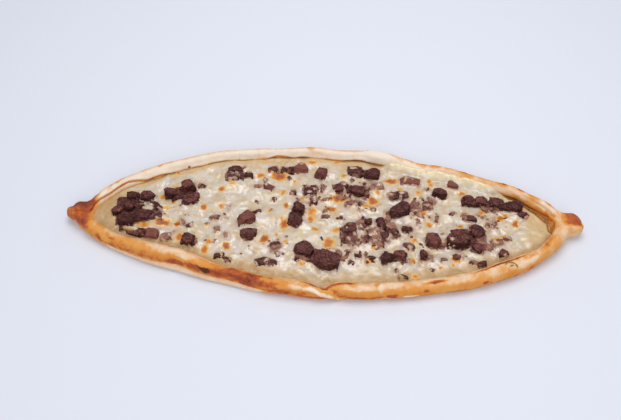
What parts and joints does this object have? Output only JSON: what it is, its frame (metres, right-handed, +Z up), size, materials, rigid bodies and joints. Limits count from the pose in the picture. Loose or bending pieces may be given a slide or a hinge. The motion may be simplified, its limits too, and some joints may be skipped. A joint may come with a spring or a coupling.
{
  "type": "turkish pide",
  "caption": "Long boat-shaped flatbread with a folded rim and pinched ends, filled with melted cheese and chunks of diced meat.",
  "frame": {"origin": "middle of the flat underside, below the centre of the bounding box", "axes": "+X along the boat from the pointed knob to the rounded knob, +Y to the side with the tall pale rim, +Z up"},
  "size_m": [0.453, 0.1618, 0.0198],
  "materials": {
    "crust": "baked dough, pale to golden brown",
    "cheese": "melted cheese, soft sheen",
    "meat": "browned diced beef"
  },
  "bodies": {
    "root": {"crust": "crust", "cheese": "cheese", "meat_01": "meat", "meat_02": "meat", "meat_03": "meat", "meat_04": "meat", "meat_05": "meat", "meat_06": "meat", "meat_07": "meat", "meat_08": "meat", "meat_09": "meat", "meat_10": "meat", "meat_11": "meat", "meat_12": "meat", "meat_13": "meat", "meat_14": "meat", "meat_15": "meat", "meat_16": "meat", "meat_17": "meat", "meat_18": "meat", "meat_19": "meat", "meat_20": "meat", "meat_21": "meat", "meat_22": "meat", "meat_23": "meat", "meat_24": "meat", "meat_25": "meat", "meat_26": "meat", "meat_27": "meat", "meat_28": "meat", "meat_29": "meat", "meat_30": "meat", "meat_31": "meat", "meat_32": "meat", "meat_33": "meat", "meat_34": "meat", "meat_35": "meat", "meat_36": "meat", "meat_37": "meat", "meat_38": "meat", "meat_39": "meat", "meat_40": "meat", "meat_41": "meat", "meat_42": "meat", "meat_43": "meat", "meat_44": "meat", "meat_45": "meat", "meat_46": "meat", "meat_47": "meat", "meat_48": "meat", "meat_49": "meat", "meat_50": "meat", "meat_51": "meat", "meat_52": "meat", "meat_53": "meat", "meat_54": "meat", "meat_55": "meat", "meat_56": "meat", "meat_57": "meat", "meat_58": "meat"}
  },
  "joints": []
}
